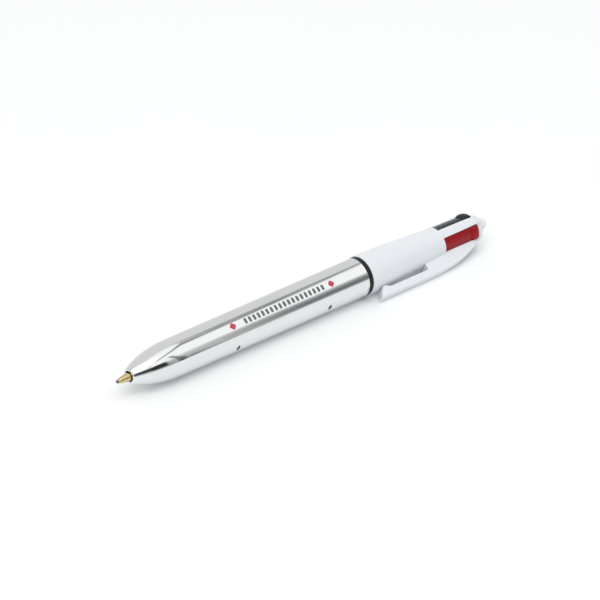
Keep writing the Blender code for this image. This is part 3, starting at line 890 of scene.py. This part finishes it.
def slide_piece(colour, finish):
    """Slide: crowned bar with its thumb button, spine with tooth and foot, collar and peg.

    The bar's top melts together its own level and the button's hump, by the logarithm of the
    sum of their exponentials. With s the share of the button's length, the hump goes with
    twice the root of s (1 - s), to a power. The spine's floor runs straight from point to
    point. Collar and peg are turned from one profile about the channel's middle.
    """
    station = np.concatenate((run(BAR_X, THUMB_X - 0.6, 40), run(THUMB_X - 0.6, BAR_END_X, 60)[1:]))
    share = np.clip((station - THUMB_X) / (BAR_END_X - THUMB_X), 0.0, 1.0)
    hump = (2 * np.sqrt(share * (1 - share))) ** THUMB_ROUND
    hump = THUMB_BASE_R + (THUMB_R - THUMB_BASE_R) * hump
    high = np.logaddexp(BAR_R / THUMB_MELT, hump / THUMB_MELT) * THUMB_MELT
    half = BAR_HALF - (BAR_HALF - THUMB_HALF) * np.clip((high - BAR_R) / 0.5, 0, 1)
    top = bar(station, np.full(station.shape, BAR_FLOOR), high, half, BAR_EDGE, crown=BAR_R)
    station = np.concatenate((np.linspace(COLLAR_X + 0.4, SPINE_STEP_X, 20),
                              np.linspace(SPINE_STEP_X + 0.05, BAR_END_X, 60)))
    low = np.interp(station, SPINE_STATIONS, SPINE_FLOOR)
    high = np.where(station > SPINE_STEP_X, SPINE_BAR_TOP, SPINE_TOP)
    spine = bar(station, low, high, SPINE_HALF, SPINE_EDGE)
    peg = rounded([(COLLAR_END_X, 0.0, 0.0), (COLLAR_END_X, COLLAR_R, 0.15), (COLLAR_X, COLLAR_R, 0.15),
                   (COLLAR_X, PEG_R, 0.1), (PEG_X, PEG_R, 0.25), (PEG_X, 0.0, 0.0)])
    shift = (FORWARD[colour], 0.0, 0.0)
    grids = [placed(grid - shift, CHANNELS[colour])
             for grid in (top, spine, turned(peg, SMALL_ROUND, CHANNEL_R))]
    piece = surface("button_" + colour, grids, finish)
    belongs(piece, "slider_" + colour, "slide_" + colour, "slide_" + colour)


# ---- refills and springs

def refill_pieces(colour, brass, carbide, tube, ink):
    """Writing tip, ball, tube and ink of one refill, all turned about the refill's own line.

    The tip's radius grows in two small steps and a cone to the tube's, and drops to the shank.
    The ball is a half circle turned round. The ink's rear end is a dish, whose depth is one
    minus the square of the radius over the ink's own.
    """
    ball = BALL_X - PIVOT_X
    cone = rounded([(0.12, BALL_R + 0.02, 0.0), (0.10, BALL_R + 0.08, 0.03), (0.75, 0.70, 0.10),
                    (0.85, 0.80, 0.08), (CONE_LENGTH, TUBE_R, 0.5), (TIP_LENGTH, TUBE_R, 0.1),
                    (TIP_LENGTH, SHANK_R, 0.05), (SHANK_LENGTH, SHANK_R, 0.2), (SHANK_LENGTH, 0.0, 0.0),
                    (0.55, 0.0, 0.0), (0.4, 0.38, 0.0)])
    cone = np.concatenate((cone, cone[:1])) + (ball, 0.0)
    turn = np.linspace(0, math.pi, 25)
    globe = np.stack((ball - BALL_R * np.cos(turn), BALL_R * np.sin(turn)), -1)
    front, rear = ball + TIP_LENGTH + 0.1, TUBE_END_X - PIVOT_X
    wall = np.concatenate((between((rear - 0.1, TUBE_R), (front + 0.1, TUBE_R), 50),
                           [(front, TUBE_R - 0.1), (front, TUBE_BORE_R)],
                           between((front + 0.1, TUBE_BORE_R), (rear - 0.1, TUBE_BORE_R), 50),
                           [(rear, TUBE_BORE_R), (rear, TUBE_R - 0.1), (rear - 0.1, TUBE_R)]))
    ink_front, ink_rear = ball + SHANK_LENGTH + 0.2, INK_END_X - PIVOT_X
    dip = run(INK_R, 0.0, 8)
    column = np.concatenate(([(ink_front, 0.0)], between((ink_front, INK_R), (ink_rear, INK_R), 40),
                             np.stack((ink_rear - INK_DIP * (1 - (dip / INK_R) ** 2), dip), -1)))
    rows = (("nib_", cone, SMALL_ROUND, brass, "tip_brass", "writing_tip_"),
            ("point_", globe, BALL_ROUND, carbide, "ball_carbide", "ball_"),
            ("tube_", wall, SMALL_ROUND, tube, "tube_natural", "refill_tube_"),
            ("paste_", column, BALL_ROUND, ink, "ink_" + colour, "ink_"))
    for name, profile, columns, finish, slot, node in rows:
        piece = surface(name + colour, [leaned(turned(profile, columns), colour)], finish)
        belongs(piece, "refill_" + colour, slot, node + colour)


def return_spring(colour, steel):
    """Wire coil with closed end turns.

    The wire's middle line is a helix whose rise is slower near both ends: the share of the
    length is the share of the turns minus a sine wave's part. Its round section is carried
    along in the plane that holds the coil's radius and the pen's direction, and closes in a
    point at both ends.
    """
    end = SPRING_END_X - FORWARD[colour]
    turns = np.linspace(0, COIL_TURNS, COIL_TURNS * 40 + 1)
    share = turns / COIL_TURNS
    near_end = np.abs(share - 0.5) > 0.25
    rise = share - COIL_CLOSING * np.sin(4 * math.pi * share) * near_end
    centre = SPRING_X + WIRE_R + (end - SPRING_X - 2 * WIRE_R) * rise
    wire = np.linspace(0, 2 * math.pi, WIRE_ROUND, endpoint=False)
    radius = COIL_R + WIRE_R * np.cos(wire)
    angle = (2 * math.pi * turns)[:, None]
    grid = np.stack((centre[:, None] + WIRE_R * np.sin(wire), radius * np.sin(angle),
                     CHANNEL_R + radius * np.cos(angle)), -1)
    grid[0], grid[-1] = grid[1].mean(axis=0), grid[-2].mean(axis=0)
    piece = surface("coil_" + colour, [placed(grid, CHANNELS[colour])], steel, sharp=60.0)
    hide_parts("spring_" + colour)
    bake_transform(piece)


# ---- studio

def studio_floor():
    """Plain pale table top, which glows faintly: painted light that whitens it and lightens the pen's shadow on
    it.
    """
    finish = Finish("table_white", (0.90, 0.915, 0.925), 0.6)
    # Painted light: a faint glow on the table, though it is no lamp, lifts the shadow under the pen
    finish.set(Emission_Color=(1.0, 1.0, 1.0, 1.0), Emission_Strength=0.075)
    finish.roughen(finish.noise(30), 0.55, 0.70)
    finish.relief(finish.noise(900), 0.01)
    corners = TABLE_HALF * np.array([[(-1, -1, 0), (1, -1, 0)], [(-1, 1, 0), (1, 1, 0)]])
    floor = surface("table", [corners], finish.material, wrap=False)


class Surroundings:
    """The world's brightness by direction, built up from soft-edged patches."""

    def __init__(self, level):
        world = bpy.data.worlds.new("studio")
        bpy.context.scene.world = world
        world.use_nodes = True
        self.nodes, self.links = world.node_tree.nodes, world.node_tree.links
        self.background = self.nodes["Background"]
        place = self.nodes.new("ShaderNodeTexCoord")
        axes = self.nodes.new("ShaderNodeSeparateXYZ")
        self.links.new(place.outputs["Generated"], axes.inputs["Vector"])
        self.bearing = self.math("DEGREES", self.math("ARCTAN2", axes.outputs["X"], axes.outputs["Y"]))
        self.height = self.math("DEGREES", self.math("ARCSINE", axes.outputs["Z"]))
        self.level = level

    def feed(self, socket, value):
        """A number is set on a socket, and another node's output is linked to it."""
        if isinstance(value, float):
            socket.default_value = value
        else:
            self.links.new(value, socket)

    def math(self, operation, *values):
        """One arithmetic step on numbers or outputs."""
        node = self.nodes.new("ShaderNodeMath")
        node.operation = operation
        for socket, value in zip(node.inputs, values):
            self.feed(socket, value)
        return node.outputs[0]

    def edge(self, value, start, end):
        """Smooth step from 0 at start to 1 at end."""
        node = self.nodes.new("ShaderNodeMapRange")
        node.interpolation_type = "SMOOTHSTEP"
        node.inputs["From Min"].default_value = start
        node.inputs["From Max"].default_value = end
        self.links.new(value, node.inputs["Value"])
        return node.outputs["Result"]

    def within(self, value, low, high, soft):
        """1 between low and high, fading to 0 over a soft margin outside."""
        return self.math("MULTIPLY", self.edge(value, low - soft, low),
                         self.edge(value, high + soft, high))

    def patch(self, bearings, heights, level, soft, height=None):
        """Brings the brightness to a level within a range of bearings and heights."""
        height = self.height if height is None else height
        mask = self.math("MULTIPLY", self.within(self.bearing, *bearings, soft[0]),
                         self.within(height, *heights, soft[1]))
        mix = self.nodes.new("ShaderNodeMix")
        mix.data_type = "FLOAT"
        self.links.new(mask, mix.inputs["Factor"])
        self.feed(mix.inputs["A"], self.level)
        mix.inputs["B"].default_value = level
        self.level = mix.outputs["Result"]

    def done(self):
        """The brightness goes to the world's background."""
        self.links.new(self.level, self.background.inputs["Strength"])
        self.background.inputs["Color"].default_value = TENT_COLOUR


def studio_surroundings():
    """A light tent: pale walls, a seam across its roof, a dark doorway and dark stands.

    The seam sags with the square of the bearing's distance from its middle.
    """
    tent = Surroundings(TENT_LEVEL)
    aside = tent.math("ABSOLUTE", tent.math("SUBTRACT", tent.bearing, SEAM_MIDDLE))
    sag = tent.math("MULTIPLY", tent.math("POWER", aside, 2.0), SEAM_SAG)
    seam_height = tent.math("ADD", tent.height, sag)
    for row in TENT_WALLS:
        tent.patch(*row)
    tent.patch(*TENT_SEAM, seam_height)
    for row in TENT_DARKS:
        tent.patch(*row)
    tent.done()


def studio_board():
    """Dark board beside the table that only mirrors see, faded out over its edges."""
    finish = Finish("board_dark", (0.11, 0.12, 0.135), 0.8)
    axes = finish.nodes.new("ShaderNodeSeparateXYZ")
    finish.links.new(finish.place, axes.inputs["Vector"])
    alpha, *masks = [finish.ranged(axes.outputs[axis], *fade) for axis, *fade in BOARD_FADES]
    for mask in masks:
        product = finish.nodes.new("ShaderNodeMath")
        product.operation = "MULTIPLY"
        finish.links.new(alpha, product.inputs[0])
        finish.links.new(mask, product.inputs[1])
        alpha = product.outputs[0]
    finish.links.new(alpha, finish.shader.inputs["Alpha"])
    finish.relief(finish.noise(300), 0.1)
    corners = np.array([[(x, BOARD_Y, z) for x in BOARD_X] for z in BOARD_Z])
    board = surface("board", [corners], finish.material, wrap=False)
    board.visible_camera = board.visible_diffuse = board.visible_shadow = False


def studio_lights():
    """One broad soft box over the front of the table."""
    light = bpy.data.lights.new("soft_box", "AREA")
    light.shape = "RECTANGLE"
    light.size, light.size_y = LAMP_SIZE
    light.energy = LAMP_POWER
    lamp = bpy.data.objects.new("soft_box", light)
    bpy.context.scene.collection.objects.link(lamp)
    lamp.location = LAMP_PLACE
    lamp.rotation_mode = "QUATERNION"
    lamp.rotation_quaternion = (-lamp.location).to_track_quat("-Z", "Y")


def camera():
    """Looks down at the pen from its tip end, on the clip's side."""
    height, bearing = math.radians(CAMERA_HEIGHT), math.radians(CAMERA_BEARING)
    target = placed((AIM_X, 0.0, 0.0))
    ahead = np.array([math.cos(height) * math.sin(bearing), math.cos(height) * math.cos(bearing),
                      -math.sin(height)])
    data = bpy.data.cameras.new("camera")
    data.lens, data.sensor_width = LENS, SENSOR
    data.shift_x, data.shift_y = SHIFT_X, SHIFT_Y
    data.clip_end = 20.0
    eye = bpy.data.objects.new("camera", data)
    bpy.context.scene.collection.objects.link(eye)
    eye.location = target - CAMERA_DISTANCE * ahead
    eye.rotation_euler = (math.pi / 2 - height, 0.0, -bearing)
    bpy.context.scene.camera = eye


# ---- the pen

camera()
studio_floor()
studio_surroundings()
studio_board()
studio_lights()
bpy.context.scene.view_settings.view_transform = "Standard"

silver_barrel()
barrel_print()
black_ring()
white = white_body()
spigot(white)
clip_blade(white)
cap_dome(white)
guide_fins(white)
disc = frame["nodes"]["guide_disc"].data
disc.materials.clear()
disc.materials.append(clouded("natural_plastic", (0.74, 0.73, 0.68), 0.40, 0.0, (1200, 0.34, 0.52),
                              (400, (0.68, 0.67, 0.61)), (3000, 0.003)))

# Base colour of each slide, and the one that it goes to in patches
SLIDE_COLOURS = {
    "black": ((0.016, 0.019, 0.022), (0.024, 0.027, 0.030)),
    "red": ((0.33, 0.006, 0.010), (0.28, 0.007, 0.011)),
    "blue": ((0.012, 0.045, 0.30), (0.018, 0.055, 0.25)),
    "green": ((0.012, 0.20, 0.065), (0.018, 0.17, 0.060)),
}
INK_COLOURS = {"black": (0.010, 0.010, 0.012), "red": (0.35, 0.010, 0.020),
               "blue": (0.010, 0.020, 0.25), "green": (0.010, 0.15, 0.050)}
clear_tube, brass = refill_tube(), turned_brass()
carbide = clouded("polished_carbide", (0.24, 0.22, 0.20), 0.18, 1.0, (4000, 0.12, 0.30),
                  (2500, (0.15, 0.13, 0.12)), (12000, 0.0008))
steel = clouded("spring_wire", (0.56, 0.56, 0.57), 0.25, 1.0, (5000, 0.18, 0.36),
                (900, (0.44, 0.44, 0.46)), (14000, 0.001))
for name in COLOURS:
    slide_piece(name, slide_plastic("slide_plastic_" + name, *SLIDE_COLOURS[name]))
    ink = ink_paste("ink_paste_" + name, INK_COLOURS[name])
    refill_pieces(name, brass, carbide, clear_tube, ink)
    return_spring(name, steel)
